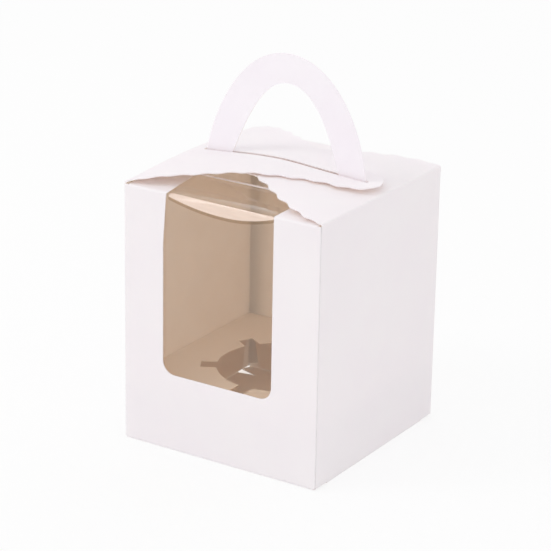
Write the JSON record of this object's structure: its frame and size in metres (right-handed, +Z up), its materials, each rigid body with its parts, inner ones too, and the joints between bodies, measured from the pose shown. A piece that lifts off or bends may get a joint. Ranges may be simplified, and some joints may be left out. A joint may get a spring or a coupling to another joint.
{
  "type": "cupcake box",
  "caption": "Square folded card carton for a cupcake, with a clear film window, scalloped wing flaps, an arched carrying handle and a notched insert.",
  "frame": {"origin": "on the table, under the middle of the box", "axes": "+Z up, window wall faces -Y, the hinged top flap is creased along the -X wall, the handle arch stands in the XZ plane"},
  "size_m": [0.092, 0.092, 0.1594],
  "materials": {
    "white_card": "smooth white coated card, satin",
    "clear_film": "clear polyester film, gloss",
    "insert_card": "plain uncoated card, matte"
  },
  "bodies": {
    "box": {"carton": "white_card", "window_film": "clear_film", "cupcake_insert": "insert_card"},
    "flap": {"top_flap": "white_card"}
  },
  "joints": [
    {"name": "top_flap_hinge", "type": "hinge", "parent": "box", "child": "flap", "pos_m": [-0.04578, 0, 0.10977], "axis": [0, -1, 0], "range_deg": [0, 180]}
  ]
}
